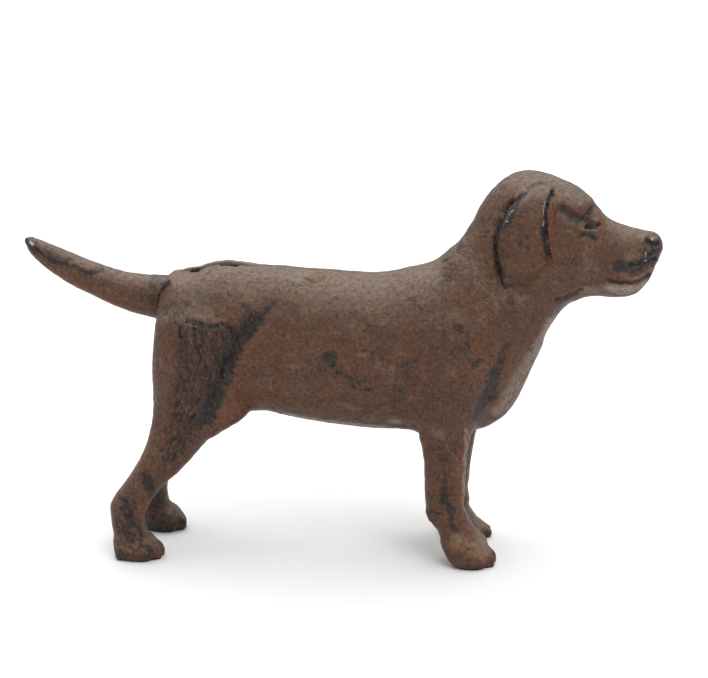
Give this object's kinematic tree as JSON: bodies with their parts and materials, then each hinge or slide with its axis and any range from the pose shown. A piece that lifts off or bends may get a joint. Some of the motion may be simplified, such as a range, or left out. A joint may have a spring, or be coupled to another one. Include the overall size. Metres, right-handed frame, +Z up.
{
  "type": "door stop",
  "caption": "Standing dog-figure door stop: hollow iron castings joined on the mid-plane, with a trapped upswept tail, resting on flat paw soles.",
  "frame": {"origin": "on the floor, under the centre of the bounding box", "axes": "+X towards the nose, +Y the dog's left, +Z up"},
  "size_m": [0.2687, 0.057, 0.1657],
  "materials": {
    "painted_casting": "rust-brown paint over sand-cast iron, worn to blue-black in the hollows",
    "screw_steel": "blackened steel"
  },
  "bodies": {
    "root": {"right_body_half": "painted_casting", "left_body_half": "painted_casting", "tail": "painted_casting", "assembly_screws": "screw_steel"}
  },
  "joints": []
}
